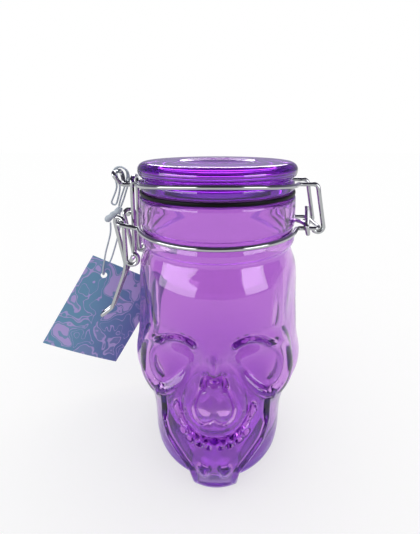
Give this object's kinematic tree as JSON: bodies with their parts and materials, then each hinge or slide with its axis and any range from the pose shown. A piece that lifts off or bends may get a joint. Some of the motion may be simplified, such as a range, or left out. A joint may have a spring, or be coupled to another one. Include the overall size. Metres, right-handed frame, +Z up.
{
  "type": "clip-top skull storage jar",
  "caption": "Thick coloured glass jar moulded as a skull, with a glass lid on a rubber gasket, a sprung wire clip closure and a card tag on a cord.",
  "frame": {"origin": "centre of the jar's flat base, on the surface that it stands on", "axes": "+Z up along the jar's axis; the skull's face looks along -Y; +X towards the hinge, -X towards the clasp"},
  "size_m": [0.1439, 0.0791, 0.136],
  "materials": {
    "purple_glass": "clear purple glass, fire polished",
    "steel_wire": "bright drawn steel wire",
    "black_rubber": "matt black",
    "printed_card": "matt printed card",
    "elastic_cord": "smooth pale cord"
  },
  "bodies": {
    "jar": {"jar_body": "purple_glass", "neck_wire_front": "steel_wire", "neck_wire_rear": "steel_wire"},
    "lid": {"lid_glass": "purple_glass", "lid_gasket": "black_rubber", "lid_hoop": "steel_wire", "tag_cord_loop": "elastic_cord"},
    "lever": {"clasp_lever": "steel_wire"},
    "link": {"clasp_link": "steel_wire"},
    "tag": {"hang_tag": "printed_card", "tag_cord_drop": "elastic_cord", "tag_cord_knot": "elastic_cord"}
  },
  "joints": [
    {"name": "lid_hinge", "type": "hinge", "parent": "jar", "child": "lid", "pos_m": [0.046, 0, 0.1062], "axis": [0, 1, 0], "range_deg": [0, 105]},
    {"name": "lever_pivot", "type": "hinge", "parent": "jar", "child": "lever", "pos_m": [-0.045, 0, 0.1084], "axis": [0, 1, 0], "range_deg": [0, 110]},
    {"name": "link_pivot", "type": "hinge", "parent": "lever", "child": "link", "pos_m": [-0.0395, 0, 0.0912], "axis": [0, 1, 0], "range_deg": [-120, 0]},
    {"name": "tag_swing", "type": "hinge", "parent": "lid", "child": "tag", "pos_m": [-0.0519, 0.0131, 0.109], "axis": [0, 1, 0], "range_deg": [0, 40]}
  ],
  "couplings": [
    {"joint": "link_pivot", "follows": "lever_pivot", "ratio": -1.09}
  ]
}
